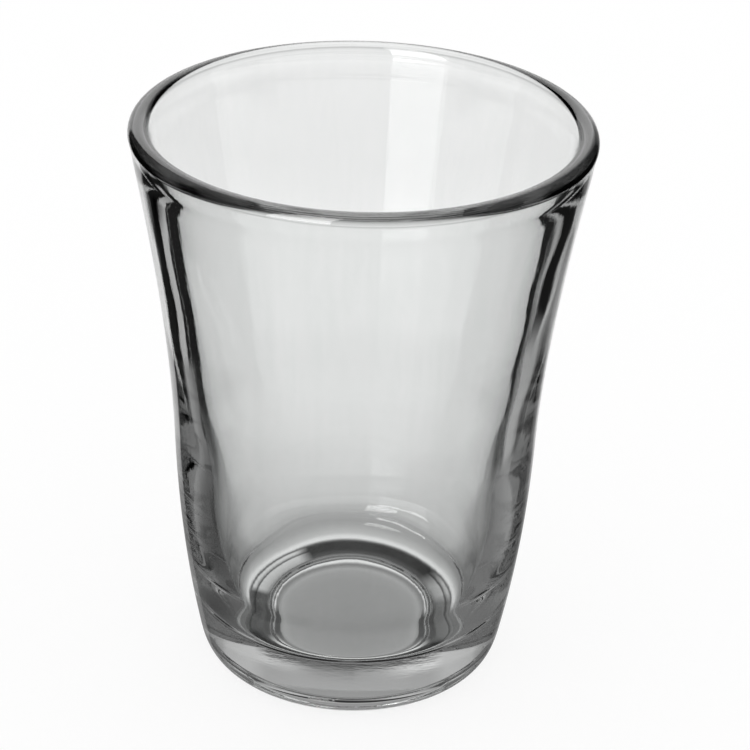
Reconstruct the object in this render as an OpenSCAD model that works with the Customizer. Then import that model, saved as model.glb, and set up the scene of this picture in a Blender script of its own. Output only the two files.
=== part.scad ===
// Cortado glass: one piece of clear pressed glass with a round rim, a flared mouth, a slight waist and a thick foot.
// Lengths are in millimetres. The axis of the glass is Z and the table is at zero.

/* [Rim] */
// Height from the table to the top of the rim
glass_h = 89; // [80:0.5:100]
// Outside diameter of the rim
rim_d = 68; // [62:0.5:76]
// Thickness of the rim, which is fully round
rim_t = 3.15; // [2.4:0.05:4]
// Flare of the outside under the rim, in degrees from upright
rim_flare = 10.6; // [6:0.1:15]
// Flare of the inside under the rim, in degrees from upright
mouth_flare = 11.5; // [6:0.1:15]

/* [Waist] */
// Height at which the wall stands most upright
waist_h = 38; // [30:0.5:48]
// Outside diameter at the waist
waist_d = 55.4; // [52:0.2:60]
// Lean of the outside at the waist, in degrees from upright
waist_lean = 2; // [0:0.1:5]
// Thickness of the wall at the waist
waist_wall = 4; // [2.8:0.1:5.2]
// Lean of the inside at the waist, in degrees from upright
inside_lean = 6.2; // [2:0.1:9]

/* [Foot] */
// Height at which the curve of the heel runs into the wall
heel_h = 6.5; // [4:0.1:10]
// Outside diameter at the top of the heel
heel_d = 48.7; // [45:0.1:52]
// Lean of the wall at the top of the heel, in degrees from upright
heel_lean = 10.8; // [4:0.1:16]
// How far the heel curves in from its top to the ring that stands on the table
heel_inset = 5.8; // [3:0.1:8]
// Width of the flat ring that stands on the table
ring_w = 2; // [1:0.1:4]
// Height of the hollow under the foot
hollow_h = 1.1; // [0.4:0.1:2]
// Width of the curve from the ring up to the flat of the hollow
hollow_curve_w = 3.1; // [1:0.1:6]

/* [Inside] */
// Thickness of glass under the flat of the floor, measured from the table
floor_h = 9.5; // [7:0.1:12]
// Height of the curve between the floor and the wall
well_curve_h = 7.5; // [4:0.1:10]
// Width of the curve between the floor and the wall
well_curve_w = 3.6; // [2:0.1:7]
// Thickness of the wall at the top of that curve
well_wall = 5.1; // [3.6:0.1:6.6]
// Lean of the inside there, in degrees from upright
well_lean = 12.5; // [6:0.1:18]

/* [Hidden] */

// Straight pieces in each curve of the outline, and around the axis
wall_steps = 14;
bend_steps = 12;
rim_steps = 16;
turn_steps = 120;
// How far the handles of each bend reach towards its corner, as shares of the way
hollow_share = 0.6;
foot_share = 0.83;
heel_share = 0.6;
well_share = 0.85;

rim_r = rim_d / 2;
bead_r = rim_t / 2;
bead_x = rim_r - bead_r;
bead_z = glass_h - bead_r;
waist_r = waist_d / 2;
heel_r = heel_d / 2;
foot_r = heel_r - heel_inset;
hollow_r = foot_r - ring_w;
hollow_flat_r = hollow_r - hollow_curve_w;
well_h = floor_h + well_curve_h;

// Where the outside and the inside run into the round of the rim
flare_end = [bead_x + bead_r * cos(rim_flare), bead_z - bead_r * sin(rim_flare)];
mouth_end = [bead_x - bead_r * cos(mouth_flare), bead_z + bead_r * sin(mouth_flare)];

// Outside of the lower wall, from the heel to the waist
heel_end = [heel_r, heel_h];
waist_end = [waist_r, waist_h];

// Inside of the wall at the waist and at the top of the well
waist_inside = [waist_r - waist_wall, waist_h];
well_r = wall_point(heel_end, heel_lean, waist_end, waist_lean, (well_h - heel_h) / (waist_h - heel_h)).x - well_wall;
well_end = [well_r, well_h];
floor_r = well_r - well_curve_w;

// A point on a wall that leaves one end at its lean and arrives at the other at its own: a cubic in the height.
// a and b are [radius, height], the leans are in degrees from upright and t runs from 0 to 1.
function wall_point(a, a_lean, b, b_lean, t) =
    let (
        rise = b.y - a.y,
        rest = 1 - t
    )
    [
        a.x * rest * rest * (1 + 2 * t) + b.x * t * t * (1 + 2 * rest)
            + rise * t * rest * (rest * tan(a_lean) - t * tan(b_lean)),
        a.y + rise * t
    ];

// A point on the bend from a to d, with the handles b and c: a cubic in t from 0 to 1.
function bend_point(a, b, c, d, t) =
    let (rest = 1 - t)
    rest * rest * rest * a + 3 * t * rest * rest * b + 3 * t * t * rest * c + t * t * t * d;

// The points of a wall and of a bend, without their first points, which the curve before them has.
function wall_line(a, a_lean, b, b_lean) =
    [for (i = [1 : wall_steps]) wall_point(a, a_lean, b, b_lean, i / wall_steps)];
function bend_line(a, b, c, d) =
    [for (i = [1 : bend_steps]) bend_point(a, b, c, d, i / bend_steps)];

// A handle that leaves a point up or down a wall of that lean.
function wall_handle(end, lean, reach) = end + reach * [tan(lean), 1];
// A handle that leaves a point along a flat face.
function flat_handle(end, reach) = end + [reach, 0];

// The half section, from the middle of the hollow out round the foot, up the outside, over the rim and down the inside.
function half_section() =
    let (
        hollow_top = [hollow_flat_r, hollow_h],
        hollow_foot = [hollow_flat_r, 0],
        ring_inside = [hollow_r, 0],
        ring_outside = [foot_r, 0],
        floor_edge = [floor_r, floor_h],
        rim_sweep = 180 - mouth_flare + rim_flare
    )
    concat(
        [[0, hollow_h], hollow_top],
        bend_line(
            hollow_top,
            hollow_foot,
            flat_handle(ring_inside, -hollow_share * hollow_curve_w),
            ring_inside
        ),
        [ring_outside],
        bend_line(
            ring_outside,
            flat_handle(ring_outside, foot_share * heel_inset),
            wall_handle(heel_end, heel_lean, -heel_share * heel_h),
            heel_end
        ),
        wall_line(heel_end, heel_lean, waist_end, waist_lean),
        wall_line(waist_end, waist_lean, flare_end, rim_flare),
        [
            for (i = [1 : rim_steps])
                let (angle = rim_sweep * i / rim_steps - rim_flare)
                [bead_x + bead_r * cos(angle), bead_z + bead_r * sin(angle)]
        ],
        wall_line(mouth_end, mouth_flare, waist_inside, inside_lean),
        wall_line(waist_inside, inside_lean, well_end, well_lean),
        bend_line(
            well_end,
            wall_handle(well_end, well_lean, -well_share * well_curve_h),
            flat_handle(floor_edge, well_share * well_curve_w),
            floor_edge
        ),
        [[0, floor_h]]
    );

// The whole glass, turned about its axis.
module glass_body() {
    color([0.86, 0.9, 0.9, 0.45])
        rotate_extrude($fn = turn_steps)
            polygon(half_section());
}

glass_body();
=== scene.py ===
import math
from functools import partial
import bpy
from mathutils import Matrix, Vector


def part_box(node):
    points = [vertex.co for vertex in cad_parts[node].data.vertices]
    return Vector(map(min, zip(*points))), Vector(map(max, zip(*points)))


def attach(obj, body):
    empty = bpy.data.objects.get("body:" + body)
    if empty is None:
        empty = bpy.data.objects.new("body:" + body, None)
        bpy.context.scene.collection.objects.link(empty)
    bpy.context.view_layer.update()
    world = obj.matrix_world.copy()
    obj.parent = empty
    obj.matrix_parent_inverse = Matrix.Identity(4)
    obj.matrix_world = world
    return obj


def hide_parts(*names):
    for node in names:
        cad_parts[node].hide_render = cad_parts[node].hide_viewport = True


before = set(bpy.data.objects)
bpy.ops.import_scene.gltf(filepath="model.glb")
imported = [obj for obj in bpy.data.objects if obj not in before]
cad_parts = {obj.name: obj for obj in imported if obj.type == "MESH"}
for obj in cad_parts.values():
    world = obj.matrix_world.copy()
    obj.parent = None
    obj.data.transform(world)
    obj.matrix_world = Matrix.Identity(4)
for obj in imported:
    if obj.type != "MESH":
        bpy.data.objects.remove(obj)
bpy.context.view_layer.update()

from types import SimpleNamespace

import bpy
import numpy as np
from mathutils import Quaternion, Vector

rim_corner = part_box("glass_body")[1]

MM = 0.001
full_turn = 2 * math.pi
half_turn = math.pi
quarter_turn = math.pi / 2
eighth_turn = math.pi / 4
half = 0.5

# Rim. The height of the glass and the radius of its rim come from the frame.
glass_h = rim_corner[2]
rim_r = rim_corner[0]
rim_t = 3.15 * MM
rim_flare = math.radians(10.6)
mouth_flare = math.radians(11.5)

# Waist
waist_h = 38 * MM
waist_r = 27.7 * MM
waist_lean = math.radians(2)
waist_wall = 4 * MM
inside_lean = math.radians(6.2)

# Foot
heel_h = 6.5 * MM
heel_r = 24.35 * MM
heel_lean = math.radians(10.8)
heel_inset = 5.8 * MM
ring_w = 2 * MM
hollow_h = 1.1 * MM
hollow_curve_w = 3.1 * MM

# Inside
floor_h = 9.5 * MM
well_curve_h = 7.5 * MM
well_curve_w = 3.6 * MM
well_wall = 5.1 * MM
well_lean = math.radians(12.5)

# How far the handles of each bend reach towards its corner
hollow_share = 0.6
foot_share = 0.83
heel_share = 0.6
well_share = 0.85

# Ripple of the inside of the wall
ripple_depth = 0.012 * MM
ripple_foot = 30 * MM
ripple_top = 84 * MM
long_ripple_h = 21 * MM
long_ripple_turns = 5
short_ripple_h = 12 * MM
short_ripple_turns = 7
short_ripple_sway = 3
short_ripple_share = 0.6

# Faint hollow under the bead of the rim
neck_depth = 0.08 * MM
neck_drop = 3.6 * MM
neck_w = 0.8 * MM

# Mould seams of the outside
seam_h = 0.03 * MM
seam_w = 0.5 * MM
seam_top = 84 * MM
seam_crowding = 0.5

# Glass and the cords in it
glass_index = 1.52
cord_w = 1.6 * MM
cord_h = 30 * MM
cord_depth = 0.004 * MM
cord_octaves = 3
cord_fine_share = 0.6

# Points along each stretch of the outline, and around the axis
wall_points = 44
bend_points = 36
rim_points = 40
flat_points = 12
turn_points = 264

# The photograph's frame, in pixels, and where it sees the middle of the glass
photo_side = 750
photo_focus = 2400
photo_middle_x = 356.92
photo_middle_y = 392.13
view_rise = math.radians(28.55)
view_roll = math.radians(1.651)
view_reach = 366.5 * MM
view_start = 10 * MM
sensor_w = 36.0

# Kinds of shader node
MATH = "ShaderNodeMath"
MIX = "ShaderNodeMixRGB"
RAMP = "ShaderNodeValToRGB"
BLEND = "ShaderNodeMixShader"
EMIT = "ShaderNodeEmission"
CLEAR = "ShaderNodeBsdfTransparent"


def colour(hex_value):
    """An sRGB hex value as linear red, green, blue and alpha."""
    channels = [int(hex_value[i:i + 2], 16) / 255 for i in (1, 3, 5)]
    linear = [c / 12.92 if c <= 0.04045 else ((c + 0.055) / 1.055) ** 2.4 for c in channels]
    return (*linear, 1)


def grey(level):
    """A linear grey with full alpha."""
    return (level, level, level, 1)


def add_node(tree, kind, *values, named=(), shares=(), **settings):
    """Adds a node with its settings and links.

    The inputs are fed in order and by name from nodes, sockets or plain values.
    Shares are the stops of a ramp of greys, each a place and a level."""
    node = tree.nodes.new(kind)
    for name, setting in settings.items():
        setattr(node, name, setting)
    for key, value in [*enumerate(values), *dict(named).items()]:
        source = value.outputs[0] if isinstance(value, bpy.types.Node) else value
        if isinstance(source, bpy.types.NodeSocket):
            tree.links.new(source, node.inputs[key])
        else:
            node.inputs[key].default_value = source
    if shares:
        stops = node.color_ramp.elements
        for place, _ in shares[len(stops):]:
            stops.new(place)
        for stop, (place, level) in zip(stops, shares):
            stop.position = place
            stop.color = grey(level)
    return node


def fresh_nodes(block):
    """Empties the node tree of a material or world, and returns the call that adds nodes to it."""
    block.use_nodes = True
    block.node_tree.nodes.clear()
    return partial(add_node, block.node_tree)


def wall_line(a, a_lean, b, b_lean, points):
    """A wall from a to b, each [radius, height]: a cubic in the height that meets the lean of each end."""
    t = np.linspace(0, 1, points)
    rest = 1 - t
    rise = b[1] - a[1]
    radius = a[0] * rest**2 * (1 + 2 * t) + b[0] * t**2 * (1 + 2 * rest)
    radius += rise * t * rest * (rest * math.tan(a_lean) - t * math.tan(b_lean))
    return np.column_stack([radius, a[1] + rise * t])


def bend_line(a, b, c, d, points):
    """A bend from a to d with the handles b and c: a cubic Bezier curve."""
    t = np.linspace(0, 1, points)[:, None]
    rest = 1 - t
    return rest**3 * a + 3 * t * rest**2 * b + 3 * t**2 * rest * c + t**3 * d


def straight_line(a, b, points):
    """Evenly spaced points from a to b."""
    t = np.linspace(0, 1, points)[:, None]
    return (1 - t) * a + t * b


def half_section():
    """The outline as [radius, height].

    It runs from the middle of the hollow round the foot, up the outside, over the rim and down the inside
    to the middle of the floor."""
    bead_r = rim_t / 2
    bead_middle = np.array([rim_r - bead_r, glass_h - bead_r])
    flare_end = bead_middle + bead_r * np.array([math.cos(rim_flare), -math.sin(rim_flare)])
    mouth_end = bead_middle + bead_r * np.array([-math.cos(mouth_flare), math.sin(mouth_flare)])
    rim_turn = np.linspace(-rim_flare, half_turn - mouth_flare, rim_points)
    rim = bead_middle + bead_r * np.column_stack([np.cos(rim_turn), np.sin(rim_turn)])

    heel_end = np.array([heel_r, heel_h])
    waist_end = np.array([waist_r, waist_h])
    waist_inside = waist_end - [waist_wall, 0]
    lower_wall = wall_line(heel_end, heel_lean, waist_end, waist_lean, wall_points)

    foot_r = heel_r - heel_inset
    ring_outside = np.array([foot_r, 0])
    ring_inside = np.array([foot_r - ring_w, 0])
    hollow_top = ring_inside + [-hollow_curve_w, hollow_h]
    hollow_handle = hollow_top - [0, hollow_h]
    ring_handle = ring_inside - [hollow_share * hollow_curve_w, 0]
    foot_handle = ring_outside + [foot_share * heel_inset, 0]
    heel_handle = heel_end - heel_share * heel_h * np.array([math.tan(heel_lean), 1])

    well_h = floor_h + well_curve_h
    well_end = np.array([np.interp(well_h, lower_wall[:, 1], lower_wall[:, 0]) - well_wall, well_h])
    floor_edge = well_end - [well_curve_w, well_curve_h]
    well_handle = well_end - well_share * well_curve_h * np.array([math.tan(well_lean), 1])
    floor_handle = floor_edge + [well_share * well_curve_w, 0]

    stretches = [
        straight_line(np.array([0, hollow_h]), hollow_top, flat_points),
        bend_line(hollow_top, hollow_handle, ring_handle, ring_inside, bend_points),
        straight_line(ring_inside, ring_outside, flat_points),
        bend_line(ring_outside, foot_handle, heel_handle, heel_end, bend_points),
        lower_wall,
        wall_line(waist_end, waist_lean, flare_end, rim_flare, wall_points),
        rim,
        wall_line(mouth_end, mouth_flare, waist_inside, inside_lean, wall_points),
        wall_line(waist_inside, inside_lean, well_end, well_lean, wall_points),
        bend_line(well_end, well_handle, floor_handle, floor_edge, bend_points),
        straight_line(floor_edge, np.array([0, floor_h]), flat_points),
    ]
    return np.vstack([stretches[0]] + [stretch[1:] for stretch in stretches[1:]])


def is_inside(radius, height):
    """Whether points lie inside a cone that runs up through the middle of the wall."""
    return radius < np.interp(height, [0, glass_h], [heel_r - waist_wall / 2, rim_r - rim_t / 2])


def ripple(radius, height, turn):
    """How far the plunger leaves the inside of the wall from round.

    It is the sum of two slanting sine waves, and fades to nothing at the rim and the floor."""
    share = np.clip((height - ripple_foot) / (ripple_top - ripple_foot), 0, 1)
    fade = np.sqrt(np.sin(half_turn * share))
    long_wave = np.sin(full_turn * height / long_ripple_h + long_ripple_turns * turn)
    sway = short_ripple_sway * np.cos(turn)
    short_wave = np.sin(full_turn * height / short_ripple_h - short_ripple_turns * turn + sway)
    depth = ripple_depth * fade * (long_wave + short_ripple_share * short_wave)
    return np.where(is_inside(radius, height), depth, 0)


def neck(radius, height):
    """The faint hollow all round where the melted bead of the rim meets the wall.

    It is a bell curve in the height, on both faces of the wall."""
    depth = neck_depth * np.exp(-((height - glass_h + neck_drop) / neck_w) ** 2)
    return np.where(is_inside(radius, height), depth, -depth)


def seam(radius, height, turn):
    """The ridges that the halves of the mould leave down the front and back of the outside.

    Each is a bell curve across, and melts away towards the rim."""
    across = radius * np.cos(turn) / seam_w
    fade = np.clip((seam_top - height) / (seam_top - waist_h), 0, 1)
    return np.where(is_inside(radius, height), 0, seam_h * fade * np.exp(-across**2))


def turned_mesh(name, section):
    """Turns a section about Z. Its first and last points lie on the axis and become the two poles.

    The points of a ring lie closer together at the two seams, by a sine of twice the turn."""
    rings = section[1:-1]
    turn = np.arange(turn_points) * full_turn / turn_points
    turn = turn + seam_crowding * np.sin(2 * turn) / 2
    radius, turn_grid = np.meshgrid(rings[:, 0], turn, indexing="ij")
    height = np.repeat(rings[:, 1:], turn_points, axis=1)
    radius = (
        radius
        + ripple(radius, height, turn_grid)
        + neck(radius, height)
        + seam(radius, height, turn_grid)
    )
    grid = np.stack([radius * np.cos(turn_grid), radius * np.sin(turn_grid), height], axis=-1)
    poles = np.array([[0, 0, section[0, 1]], [0, 0, section[-1, 1]]])
    points = np.vstack([grid.reshape(-1, 3), poles])

    index = np.arange(len(rings) * turn_points).reshape(len(rings), turn_points)
    beside = np.roll(index, -1, axis=1)
    quads = np.stack([index[:-1], beside[:-1], beside[1:], index[1:]], axis=-1).reshape(-1, 4)
    low_pole, high_pole = len(points) - 2, len(points) - 1
    low_fan = np.stack([np.full(turn_points, low_pole), beside[0], index[0]], axis=-1)
    high_fan = np.stack([np.full(turn_points, high_pole), index[-1], beside[-1]], axis=-1)
    fans = np.vstack([low_fan, high_fan])
    corners = np.concatenate([quads.ravel(), fans.ravel()]).astype(np.int32)
    sizes = np.concatenate([np.full(len(quads), 4), np.full(len(fans), 3)])
    starts = np.concatenate([[0], np.cumsum(sizes)[:-1]]).astype(np.int32)

    mesh = bpy.data.meshes.new(name)
    mesh.vertices.add(len(points))
    mesh.vertices.foreach_set("co", points.ravel())
    mesh.loops.add(len(corners))
    mesh.loops.foreach_set("vertex_index", corners)
    mesh.polygons.add(len(starts))
    mesh.polygons.foreach_set("loop_start", starts)
    mesh.polygons.foreach_set("use_smooth", np.ones(len(starts), dtype=bool))
    mesh.update(calc_edges=True)
    mesh.validate()
    return mesh


def pressed_soda_lime_glass():
    """Clear soda-lime glass, pressed in a mould and fire-polished.

    The melted skin is smooth, so edges and grazing faces mirror brightly. Faint cords, drawn up the wall
    as the glass was pressed, make what shows through it waver."""
    material = bpy.data.materials.new("pressed_soda_lime_glass")
    add = fresh_nodes(material)
    place = add("ShaderNodeTexCoord").outputs["Object"]
    drawn = add("ShaderNodeVectorMath", place, (1 / cord_w, 1 / cord_w, 1 / cord_h), operation="MULTIPLY")
    cord_look = {"Vector": drawn, "Scale": 1, "Detail": cord_octaves, "Roughness": cord_fine_share}
    cords = add("ShaderNodeTexNoise", named=cord_look)
    tint = add(MIX, cords, colour("#fefefe"), colour("#f6f8f7"))
    relief = add("ShaderNodeBump", named={"Height": cords, "Strength": 1, "Distance": cord_depth})
    glass_look = {
        "Base Color": tint,
        "Roughness": 0,
        "IOR": glass_index,
        "Transmission Weight": 1,
        "Normal": relief,
    }
    shader = add("ShaderNodeBsdfPrincipled", named=glass_look)
    add("ShaderNodeOutputMaterial", shader)
    return material


def add_piece(name, mesh):
    """Puts a mesh into the scene as an object at the origin."""
    piece = bpy.data.objects.new(name, mesh)
    bpy.context.scene.collection.objects.link(piece)
    return piece


glass = add_piece("cortado_glass", turned_mesh("cortado_glass", half_section()))
glass.data.materials.append(pressed_soda_lime_glass())
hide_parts("glass_body")
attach(glass, "root")

# The studio: the camera sees a white table, and the glass sees painted shade and painted reflections on it,
# and the ribs of a light tent.
# Each pair in the shares below is a place and a level. Places run from 0 to 1 over a reach, turn or height.
table_w = 4000 * MM
table_gap = 0.02 * MM
table_glow_share = 0.85
white = grey(1)

# Limits between whole counts of the mirrors that a ray met or of the faces that it crossed
above_none = 0.5
above_one = 1.5
above_two = 2.5
above_six = 6.5
above_twenty_six = 26.5

# Painted shadow and caustic rings of the glass on the table, by the distance from the axis, and its fall to
# both sides outside the foot
shade_reach = 80 * MM
painted_shadow_shares = (
    (0.0, 0.31), (0.105, 0.33), (0.133, 0.36), (0.146, 0.42), (0.156, 0.25), (0.162, 0.21), (0.168, 0.9),
    (0.174, 0.9), (0.180, 0.05), (0.19, 0.04), (0.2, 0.0), (0.222, 0.0), (0.228, 0.12), (0.234, 0.87),
    (0.24, 0.87), (0.249, 0.58), (0.26, 0.49), (0.272, 0.41), (0.285, 0.37), (0.296, 0.41), (0.318, 0.47),
    (0.378, 0.53), (0.44, 0.56), (0.48, 0.62), (0.55, 0.68), (0.606, 0.717), (0.685, 0.74), (0.765, 0.766),
    (0.92, 0.79), (1.0, 0.80),
)
outside_shares = ((0.0, 0.0), (0.25, 0.0), (0.35, 1.0), (1.0, 1.0))
side_shares = ((0.0, 1.0), (0.41, 1.0), (0.49, 0.93), (0.57, 0.62), (0.66, 0.45), (0.78, 0.25), (1.0, 0.25))
fade_shares = ((0.0, 0.0), (0.6, 0.0), (1.0, 1.0))

# Painted shade: a dark line on the table to both sides of the foot, by the length of the arc from straight
# behind
edge_reach = 100 * MM
edge_shade_shares = (
    (0.0, 1.0), (0.48, 1.0), (0.505, 0.75), (0.53, 0.3), (0.56, 0.05), (0.64, 0.05), (0.7, 1.0), (1.0, 1.0),
)
edge_near_shares = ((0.0, 0.0), (0.65, 0.0), (0.75, 1.0), (1.0, 1.0))

# Painted caustic light on the ring under the foot, by the turn, and its tone of bright and dark painted
# lines by the distance
ring_middle_share = 0.205
ring_half_share = 0.024
ring_light_shares = (
    (0.0, 0.0), (0.185, 0.0), (0.2, 0.12), (0.27, 0.12), (0.285, 1.0), (0.4, 1.0), (0.425, 0.0), (0.65, 0.0),
    (0.69, 0.7), (0.72, 0.7), (0.745, 0.25), (0.81, 0.25), (0.835, 0.0), (1.0, 0.0),
)
ring_painted_line_shares = (
    (0.0, 0.3), (0.1825, 0.3), (0.186, 0.5), (0.195, 0.6), (0.2075, 0.72), (0.21, 0.08), (0.213, 0.08),
    (0.216, 0.7), (0.2225, 0.8), (0.2275, 0.05), (1.0, 0.05),
)

# Painted shade: dark sides of the panel inside that ring and of the edge of the foot
flank_shares = ((0.0, 0.0), (0.5, 0.0), (0.56, 1.0), (0.64, 1.0), (0.72, 0.0), (1.0, 0.0))
flank_middle_share = 0.168
flank_half_share = 0.015
flank_shade_level = 0.08
foot_middle_share = 0.245
foot_half_share = 0.017
foot_shade_level = 0.17

# Painted dark and bright lines on the table at the front of the panel, seen through the foot
front_shares = ((0.0, 0.0), (0.58, 0.0), (0.68, 1.0), (1.0, 1.0))
front_middle_share = 0.132
front_half_share = 0.014
front_line_shade_shares = (
    (0.0, 0.31), (0.118, 0.33), (0.121, 0.5), (0.127, 0.55), (0.1285, 0.02), (0.138, 0.02), (0.139, 0.62),
    (0.1435, 0.62), (0.146, 0.42), (1.0, 0.42),
)

# Painted shade on what rays that the glass mirrored see of the tent through the table: less near the foot,
# and little in the dark corners and where rays go astray
dim_shares = ((0.0, 0.5), (0.3, 0.45), (0.44, 0.45), (0.56, 0.33), (0.71, 0.45), (0.94, 0.85), (1.0, 1.0))
corner_reach = 300 * MM
corner_reach_shares = ((0.0, 0.0), (0.465, 0.0), (0.5, 1.0), (0.54, 1.0), (0.575, 0.0), (1.0, 0.0))
corner_side_shares = ((0.0, 0.0), (0.4, 0.0), (0.47, 1.0), (0.74, 1.0), (0.84, 0.0), (1.0, 0.0))
stray_shares = ((0.0, 0.0), (0.19, 0.0), (0.24, 1.0), (1.0, 1.0))
painted_dark_level = 0.02

# Painted reflections that the table glows with, for rays that one wall mirrored once: near the foot, and
# further out on the left
wall_window_shares = (
    (0.0, 0.0), (0.16, 0.0), (0.17, 1.0), (0.34, 1.0), (0.355, 0.0), (0.645, 0.0), (0.66, 1.0), (0.84, 1.0),
    (0.85, 0.0), (1.0, 0.0),
)
wall_near_shares = ((0.0, 1.0), (0.187, 1.0), (0.213, 0.0), (1.0, 0.0))
left_window_shares = ((0.0, 0.0), (0.305, 0.0), (0.314, 1.0), (0.345, 1.0), (0.36, 0.0), (1.0, 0.0))
left_reach_shares = ((0.0, 0.0), (0.19, 0.0), (0.2, 1.0), (0.3, 1.0), (0.325, 0.0), (1.0, 0.0))
wall_reflection_shares = (
    (0.0, 0.1), (0.2, 0.11), (0.236, 0.07), (0.264, 0.06), (0.276, 0.075), (0.292, 0.1), (0.302, 0.12),
    (0.317, 0.2), (0.333, 0.32), (0.347, 0.4), (0.653, 0.42), (0.667, 0.4), (0.683, 0.34), (0.697, 0.28),
    (0.717, 0.23), (0.728, 0.2), (0.75, 0.18), (1.0, 0.18),
)

# Painted reflections: slanting streaks that the table glows with for the right wall to mirror, far out and
# near. The slant is in turns for each metre.
streak_middle = 150 * MM
streak_slant = 0.972
streak_window_shares = ((0.0, 0.0), (0.53, 0.0), (0.545, 1.0), (0.698, 1.0), (0.706, 0.0), (1.0, 0.0))
streak_reach_shares = ((0.0, 0.0), (0.185, 0.0), (0.205, 1.0), (0.53, 1.0), (0.545, 0.0), (1.0, 0.0))
streak_far_shares = ((0.0, 0.0), (0.333, 0.0), (0.4, 1.0), (1.0, 1.0))
streak_far_reflection_shares = (
    (0.0, 0.8), (0.539, 0.8), (0.55, 0.6), (0.558, 0.51), (0.564, 0.43), (0.575, 0.38), (0.586, 0.36),
    (0.594, 0.68), (0.603, 0.6), (0.608, 0.05), (0.614, 0.01), (0.637, 0.01), (0.642, 0.38), (0.65, 0.44),
    (0.657, 0.02), (1.0, 0.02),
)
streak_near_reflection_shares = (
    (0.0, 0.5), (0.536, 0.5), (0.545, 0.06), (0.571, 0.05), (0.577, 0.12), (0.585, 0.38), (0.594, 0.46),
    (0.625, 0.44), (0.636, 0.38), (0.647, 0.02), (1.0, 0.02),
)

# The tent straight through the glass: ribs by the turn, none just under the horizon, and a tone by height
straight_shares = ((0.0, 1.0), (0.48, 1.0), (0.51, 0.01), (0.80, 0.01), (0.82, 0.85), (1.0, 0.9))
lift_shares = ((0.0, 0.0), (0.277, 0.0), (0.29, 1.0), (0.42, 1.0), (0.46, 0.0), (1.0, 0.0))
clear_shares = (
    (0.0, 0.9), (0.17, 0.9), (0.187, 0.62), (0.20, 0.62), (0.235, 0.83), (0.262, 0.865), (0.2926, 0.885),
    (0.296, 0.86), (0.305, 0.835), (0.315, 0.868), (0.324, 0.9), (0.38, 0.98), (0.5, 1.0), (0.75, 0.9),
    (1.0, 0.6),
)

# The tent for rays mirrored inside the glass: ribs by the turn, calm just under the horizon
inner_shares = (
    (0.0, 1.0), (0.120, 1.0), (0.125, 0.01), (0.201, 0.01), (0.206, 0.7), (0.246, 0.7), (0.252, 0.02),
    (0.68, 0.02), (0.74, 0.75), (1.0, 0.75),
)
calm_shares = ((0.0, 0.0), (0.262, 0.0), (0.285, 1.0), (0.46, 1.0), (0.48, 0.0), (1.0, 0.0))
twice_shares = ((0.0, 0.0), (0.385, 0.0), (0.4, 1.0), (1.0, 1.0))
twice_level = 0.38

# The top of the tent, with a bright seam and a dark one that don't reach its sides
sky_shares = ((0.0, 0.0), (0.54, 0.0), (0.62, 1.0), (1.0, 1.0))
sky_tone_shares = (
    (0.0, 0.38), (0.76, 0.42), (0.779, 0.5), (0.786, 0.46), (0.790, 0.38), (0.7935, 0.28), (0.796, 0.15),
    (0.799, 0.05), (0.803, 0.05), (0.82, 0.35), (1.0, 0.38),
)
sky_peak_shares = (
    (0.0, 0.0), (0.786, 0.0), (0.789, 0.3), (0.7915, 1.0), (0.794, 0.6), (0.797, 0.0), (1.0, 0.0),
)
sky_side_shares = (
    (0.0, 0.3), (0.335, 0.3), (0.36, 1.0), (0.42, 1.0), (0.445, 0.8), (0.47, 0.3), (0.5, 0.0), (0.53, 0.07),
    (0.555, 0.5), (0.58, 0.7), (0.64, 0.7), (0.665, 0.2), (1.0, 0.2),
)
sky_flank_shares = ((0.0, 0.0), (0.15, 0.0), (0.19, 1.0), (0.28, 1.0), (0.3, 0.0), (1.0, 0.0))
sky_flank_tone_shares = (
    (0.0, 0.38), (0.76, 0.5), (0.779, 0.62), (0.787, 0.6), (0.79, 0.72), (0.81, 0.72), (0.82, 0.4),
    (1.0, 0.38),
)

# The tent for rays mirrored off the outside, and brighter high up
mirror_shares = ((0.0, 1.0), (0.165, 1.0), (0.18, 0.01), (0.66, 0.01), (0.72, 0.75), (1.0, 0.75))
right_mirror_shares = (
    (0.0, 1.0), (0.1, 1.0), (0.117, 0.57), (0.133, 0.35), (0.15, 0.25), (0.167, 0.15), (0.18, 0.01),
    (0.66, 0.01), (0.72, 0.75), (1.0, 0.75),
)
high_mirror_rise = 0.2
high_mirror_gain = 1.8

# The tone of all mirrored rays by the height, and the dark room on the camera's side
height_shares = (
    (0.0, 0.30), (0.20, 0.62), (0.235, 0.83), (0.262, 0.865), (0.29, 0.885), (0.38, 0.98), (0.5, 1.0),
    (0.75, 0.9), (1.0, 0.6),
)
room_share = 0.55
room_rise = 0.05
room_level = 0.06

# Bright strip of a lamp on the camera's left, low for all mirrored rays and tall for those mirrored once
strip_middle = math.radians(-151)
strip_half_w = math.radians(15)
strip_level = 7.5
strip_shares = ((0.0, 0.0), (0.28, 0.0), (0.37, 0.06), (0.415, 0.2), (0.75, 0.2), (0.76, 0.0), (1.0, 0.0))
strip_tall_shares = ((0.0, 0.0), (0.525, 0.0), (0.535, 1.0), (0.95, 1.0), (0.96, 0.0), (1.0, 0.0))

# Tones of rays with many mirrors, of those that leave steeply and of those with very many, by their side
many_fall = -0.2
many_level = 0.06
lofty_rise = 0.454
lofty_level = 0.24
deep_middle = math.radians(58)
deep_half_w = math.radians(43)
deep_level = 0.17


def banded(add, level, share, middle_share, half_share, strength, tone):
    """A level that gives way to another tone in a band of a share, as strongly as asked."""
    band = add(MATH, share, middle_share, half_share, operation="COMPARE")
    band = add(MATH, band, strength, operation="MULTIPLY")
    return add(MIX, band, level, tone)


def window(add, across, across_shares, along, along_shares):
    """How far a ray lies in a window: the product of two ramps."""
    width = add(RAMP, across, shares=across_shares)
    length = add(RAMP, along, shares=along_shares)
    return add(MATH, width, length, operation="MULTIPLY")


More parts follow.
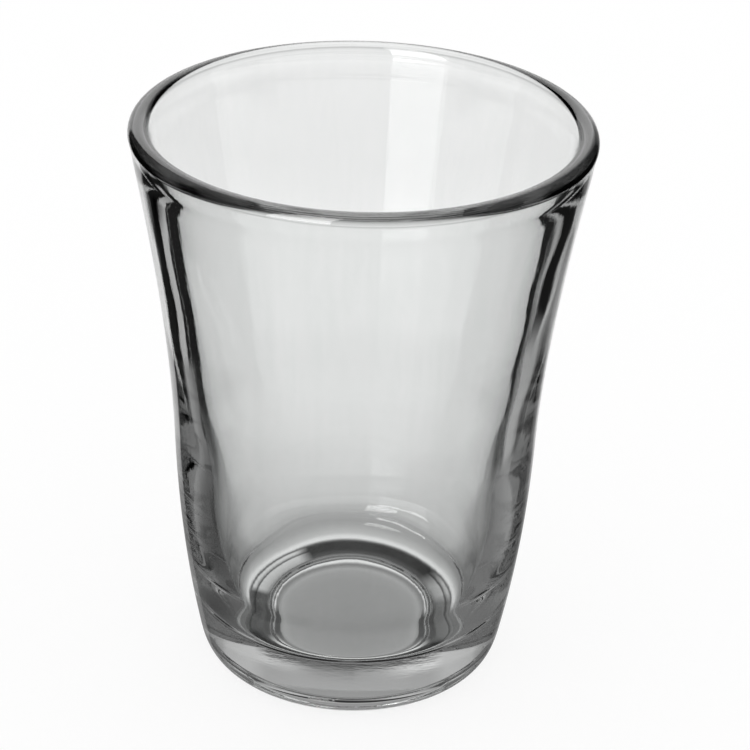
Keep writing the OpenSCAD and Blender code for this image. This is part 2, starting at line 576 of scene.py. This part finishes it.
def table_places(add):
    """Where a spot of the table lies: its distance from the axis and its turn from straight behind."""
    spot = add("ShaderNodeTexCoord").outputs["Object"]
    axes = add("ShaderNodeSeparateXYZ", spot).outputs
    radius = add("ShaderNodeVectorMath", spot, operation="LENGTH").outputs["Value"]
    azimuth = add(MATH, axes["X"], axes["Y"], operation="ARCTAN2")
    side = add(MATH, azimuth, operation="ABSOLUTE")
    return SimpleNamespace(
        radius=radius,
        side=side,
        share=add(MATH, radius, shade_reach, operation="DIVIDE"),
        far_share=add(MATH, radius, corner_reach, operation="DIVIDE"),
        side_share=add(MATH, side, quarter_turn, operation="DIVIDE"),
        half_turn_share=add(MATH, side, half_turn, operation="DIVIDE"),
        turn_share=add(MATH, azimuth, 1 / full_turn, half, operation="MULTIPLY_ADD"),
    )


def painted_shadow_tone(add, at, path):
    """The table's painted shadow and caustic light round the foot, for rays that come through the glass
    without a mirror.
    """
    # Painted shadow of the glass by the distance, darker to both sides outside the foot
    fall = add(RAMP, at.side_share, shares=side_shares)
    outside = add(RAMP, at.share, shares=outside_shares)
    level = add(RAMP, at.share, shares=painted_shadow_shares)
    level = add(MIX, outside, level, fall, blend_type="MULTIPLY")
    # Painted dark line to both sides of the foot
    arc = add(MATH, at.radius, at.side, operation="MULTIPLY")
    arc_share = add(MATH, arc, edge_reach, operation="DIVIDE")
    edge = add(RAMP, arc_share, shares=edge_shade_shares)
    level = add(MIX, add(RAMP, at.share, shares=edge_near_shares), level, edge, blend_type="MULTIPLY")
    # Painted caustic light and dark lines on the ring under the foot
    ring_light = add(RAMP, at.turn_share, shares=ring_light_shares)
    ring_tone = add(RAMP, at.share, shares=ring_painted_line_shares)
    level = banded(add, level, at.share, ring_middle_share, ring_half_share, ring_light, ring_tone)
    # Painted shade at the sides of the panel and of the edge of the foot
    flank = add(RAMP, at.half_turn_share, shares=flank_shares)
    level = banded(add, level, at.share, flank_middle_share, flank_half_share, flank, grey(flank_shade_level))
    level = banded(add, level, at.share, foot_middle_share, foot_half_share, flank, grey(foot_shade_level))
    # Painted dark and bright lines at the front of the panel
    direct = add(MATH, path["Transmission Depth"], above_two, operation="LESS_THAN")
    front = add(MATH, add(RAMP, at.half_turn_share, shares=front_shares), direct, operation="MULTIPLY")
    front_tone = add(RAMP, at.share, shares=front_line_shade_shares)
    return banded(add, level, at.share, front_middle_share, front_half_share, front, front_tone)


def lost_share(add, at, path):
    """How far a mirrored ray is lost in painted dark: in the corners, or behind the glass after a stray
    path.
    """
    corner = window(add, at.side_share, corner_side_shares, at.far_share, corner_reach_shares)
    often = add(MATH, path["Glossy Depth"], above_two, operation="GREATER_THAN")
    crossed = add(MATH, path["Transmission Depth"], above_two, operation="GREATER_THAN")
    stray = add(MATH, often, crossed, operation="MAXIMUM")
    behind = add(MATH, at.side, quarter_turn, operation="LESS_THAN")
    away = add(MATH, add(RAMP, at.far_share, shares=stray_shares), behind, operation="MULTIPLY")
    astray = add(MATH, stray, away, operation="MULTIPLY")
    return add(MATH, corner, astray, operation="MAXIMUM")


def mirrored_table(add, at, path):
    """The table for mirrored rays: a view of the tent dimmed by painted shade, and painted reflections that
    it glows with after one mirror.
    """
    # Painted shade over the tent seen through the table: dimmer near the foot, dark where rays are lost
    bare = add(RAMP, at.share, shares=dim_shares)
    shader = add(CLEAR, add(MIX, lost_share(add, at, path), bare, grey(painted_dark_level)))
    single = add(MATH, path["Glossy Depth"], 1, half, operation="COMPARE")
    entered = add(MATH, path["Transmission Depth"], above_none, operation="GREATER_THAN")
    once = add(MATH, single, entered, operation="MULTIPLY")
    # Painted reflections that the table glows with for rays that one wall mirrored once
    near = window(add, at.turn_share, wall_window_shares, at.far_share, wall_near_shares)
    left = window(add, at.turn_share, left_window_shares, at.far_share, left_reach_shares)
    wall = add(MATH, once, add(MATH, near, left, operation="MAXIMUM"), operation="MULTIPLY")
    painted_wall_reflection = add(EMIT, add(RAMP, at.turn_share, shares=wall_reflection_shares))
    shader = add(BLEND, wall, shader, painted_wall_reflection)
    # Painted reflections: slanting streaks that the table glows with for the right wall to mirror
    beyond = add(MATH, at.radius, streak_middle, operation="SUBTRACT")
    slanted = add(MATH, beyond, streak_slant, at.turn_share, operation="MULTIPLY_ADD")
    near_tone = add(RAMP, slanted, shares=streak_near_reflection_shares)
    far_tone = add(RAMP, slanted, shares=streak_far_reflection_shares)
    painted_streak_reflection = add(MIX, add(RAMP, at.far_share, shares=streak_far_shares), near_tone, far_tone)
    right = window(add, at.turn_share, streak_window_shares, at.far_share, streak_reach_shares)
    streak = add(MATH, once, right, operation="MULTIPLY")
    return add(BLEND, streak, shader, add(EMIT, painted_streak_reflection))


def pale_matt_table():
    """A pale matt sheet, lit from all round: white to the camera with the soft shadow of the glass.

    Through the glass it glows with a painted shadow and caustics near the foot, and gives way to the tent
    further out. Mirrored rays see painted shade and painted reflections on it."""
    material = bpy.data.materials.new("pale_table")
    add = fresh_nodes(material)
    path = add("ShaderNodeLightPath").outputs
    at = table_places(add)
    lit = add("ShaderNodeBsdfDiffuse", colour("#fefefe"))
    bright = add(BLEND, table_glow_share, lit, add(EMIT))
    pale = add(BLEND, path["Is Camera Ray"], lit, bright)
    # Painted shadow and caustics of the glass, a glow that only rays through the glass see
    shade = add(EMIT, painted_shadow_tone(add, at, path))
    straight = add(BLEND, add(RAMP, at.share, shares=fade_shares), shade, add(CLEAR))
    # Painted shade and painted reflections for rays that the glass mirrored
    mirrored = add(MATH, path["Glossy Depth"], above_none, operation="GREATER_THAN")
    seen = add(BLEND, mirrored, straight, mirrored_table(add, at, path))
    through = add(MATH, path["Is Glossy Ray"], path["Is Transmission Ray"], operation="MAXIMUM")
    add("ShaderNodeOutputMaterial", add(BLEND, through, pale, seen))
    return material


def tent_places(add):
    """Where a ray meets the tent: its rise, its turn from straight behind and its height from 0 to 1."""
    ray = add("ShaderNodeTexCoord").outputs["Generated"]
    axes = add("ShaderNodeSeparateXYZ", ray).outputs
    azimuth = add(MATH, axes["X"], axes["Y"], operation="ARCTAN2")
    side = add(MATH, azimuth, operation="ABSOLUTE")
    folded = add(MATH, azimuth, eighth_turn, operation="PINGPONG")
    return SimpleNamespace(
        rise=axes["Z"],
        azimuth=azimuth,
        folded_share=add(MATH, folded, eighth_turn, operation="DIVIDE"),
        half_turn_share=add(MATH, side, half_turn, operation="DIVIDE"),
        turn_share=add(MATH, azimuth, 1 / full_turn, half, operation="MULTIPLY_ADD"),
        height_share=add(MATH, axes["Z"], half, half, operation="MULTIPLY_ADD"),
    )


def straight_tone(add, at, path):
    """The tent for rays without a mirror: its ribs show through both walls, and not through one."""
    ribs = add(RAMP, at.folded_share, shares=straight_shares)
    ribs = add(MIX, add(RAMP, at.height_share, shares=lift_shares), ribs, white)
    crossed = add(MATH, path["Transmission Depth"], above_two, operation="GREATER_THAN")
    ribs = add(MIX, crossed, white, ribs)
    height = add(RAMP, at.height_share, shares=clear_shares)
    return add(MIX, 1, ribs, height, blend_type="MULTIPLY")


def sky_tone(add, at):
    """The top of the tent: a tone by the height, with the bright seam, and other tones at its sides."""
    peak = add(RAMP, at.height_share, shares=sky_peak_shares)
    peak = add(MIX, 1, peak, add(RAMP, at.turn_share, shares=sky_side_shares), blend_type="MULTIPLY")
    tone = add(MIX, 1, add(RAMP, at.height_share, shares=sky_tone_shares), peak, blend_type="ADD")
    flank_tone = add(RAMP, at.height_share, shares=sky_flank_tone_shares)
    return add(MIX, add(RAMP, at.half_turn_share, shares=sky_flank_shares), tone, flank_tone)


def inner_tone(add, at, path):
    """The tent for rays mirrored inside the glass: ribs by the turn, and its top above them.

    Rays with more than one mirror see an even tone, except low down."""
    ribs = add(RAMP, at.half_turn_share, shares=inner_shares)
    tone = add(MIX, add(RAMP, at.height_share, shares=sky_shares), ribs, sky_tone(add, at))
    tone = add(MIX, add(RAMP, at.height_share, shares=calm_shares), tone, white)
    again = add(MATH, path["Glossy Depth"], above_one, operation="GREATER_THAN")
    twice = add(MATH, again, add(RAMP, at.height_share, shares=twice_shares), operation="MULTIPLY")
    return add(MIX, twice, tone, grey(twice_level))


def outer_tone(add, at):
    """The tent for rays mirrored off the outside: ribs by the side, and brighter high up."""
    left = add(RAMP, at.half_turn_share, shares=mirror_shares)
    right = add(RAMP, at.half_turn_share, shares=right_mirror_shares)
    tone = add(MIX, add(MATH, at.azimuth, 0, operation="GREATER_THAN"), left, right)
    high = add(MATH, at.rise, high_mirror_rise, operation="GREATER_THAN")
    return add(MIX, high, tone, grey(high_mirror_gain), blend_type="MULTIPLY")


def mirrored_tone(add, at, path):
    """The tent for mirrored rays, with the dark room and the lamp's strip.

    Rays with many mirrors see even tones."""
    mirrors = path["Glossy Depth"]
    tone = add(MIX, path["Is Transmission Ray"], outer_tone(add, at), inner_tone(add, at, path))

    front = add(MATH, at.half_turn_share, room_share, operation="GREATER_THAN")
    above = add(MATH, at.rise, room_rise, operation="GREATER_THAN")
    tone = add(MIX, add(MATH, front, above, operation="MULTIPLY"), tone, grey(room_level))

    once = add(MATH, mirrors, above_one, operation="LESS_THAN")
    tall = add(MATH, once, add(RAMP, at.height_share, shares=strip_tall_shares), operation="MULTIPLY")
    strip_height = add(MATH, tall, add(RAMP, at.height_share, shares=strip_shares), operation="MAXIMUM")
    strip_side = add(MATH, at.azimuth, strip_middle, strip_half_w, operation="COMPARE")
    tone = add(MIX, add(MATH, strip_side, strip_height, operation="MULTIPLY"), tone, grey(strip_level))

    many = add(MATH, mirrors, above_six, operation="GREATER_THAN")
    upward = add(MATH, at.rise, many_fall, operation="GREATER_THAN")
    astray = add(MATH, front, upward, operation="MAXIMUM")
    tone = add(MIX, add(MATH, many, astray, operation="MULTIPLY"), tone, grey(many_level))

    some = add(MATH, mirrors, above_two, operation="GREATER_THAN")
    steep = add(MATH, at.rise, lofty_rise, operation="GREATER_THAN")
    tone = add(MIX, add(MATH, some, steep, operation="MULTIPLY"), tone, grey(lofty_level))

    deep = add(MATH, mirrors, above_twenty_six, operation="GREATER_THAN")
    deep_side = add(MATH, at.azimuth, deep_middle, deep_half_w, operation="COMPARE")
    tone = add(MIX, deep, tone, add(MIX, deep_side, grey(0), grey(deep_level)))
    return add(MIX, 1, tone, add(RAMP, at.height_share, shares=height_shares), blend_type="MULTIPLY")


def studio_world():
    """White for the camera and the table, and for the glass a tent with dark ribs to mirror and bend."""
    world = bpy.data.worlds.new("light_tent")
    add = fresh_nodes(world)
    path = add("ShaderNodeLightPath").outputs
    at = tent_places(add)
    mirrored = add(MATH, path["Glossy Depth"], above_none, operation="GREATER_THAN")
    tent = add(MIX, mirrored, straight_tone(add, at, path), mirrored_tone(add, at, path))
    through = add(MATH, path["Is Glossy Ray"], path["Is Transmission Ray"], operation="MAXIMUM")
    light = add("ShaderNodeBackground", add(MIX, through, white, tent), 1)
    add("ShaderNodeOutputWorld", light)
    return world


def square_sheet(name, side, height):
    """A level square sheet at a height."""
    reach = side / 2
    corners = [
        (-reach, -reach, height),
        (reach, -reach, height),
        (reach, reach, height),
        (-reach, reach, height),
    ]
    mesh = bpy.data.meshes.new(name)
    mesh.from_pydata(corners, [], [(0, 1, 2, 3)])
    return add_piece(name, mesh)


def add_camera(scene):
    """The camera, which sees the middle of the glass where the photograph does."""
    lens = bpy.data.cameras.new("camera")
    lens.sensor_width = sensor_w
    lens.lens = photo_focus * sensor_w / photo_side
    lens.clip_start = view_start
    camera = bpy.data.objects.new("camera", lens)
    scene.collection.objects.link(camera)
    middle = Vector((0, 0, glass_h / 2))
    back = Vector((0, -math.cos(view_rise), math.sin(view_rise)))
    camera.location = middle + back * view_reach
    wanted = Vector((photo_middle_x - photo_side / 2, photo_side / 2 - photo_middle_y, -photo_focus))
    aside = Vector((0, 0, -1)).rotation_difference(wanted)
    level = (-back).to_track_quat("-Z", "Y")
    camera.rotation_mode = "QUATERNION"
    camera.rotation_quaternion = level @ aside.inverted() @ Quaternion((0, 0, 1), view_roll)
    scene.camera = camera


table = square_sheet("table", table_w, -table_gap)
table.data.materials.append(pale_matt_table())

# The paths are long, because light crosses the wall many times on its way round the rim and the base.
scene = bpy.context.scene
scene.world = studio_world()
scene.view_settings.view_transform = "Standard"
scene.cycles.use_denoising = True
scene.cycles.max_bounces = 44
scene.cycles.glossy_bounces = 40
scene.cycles.transmission_bounces = 20
scene.cycles.transparent_max_bounces = 16
add_camera(scene)
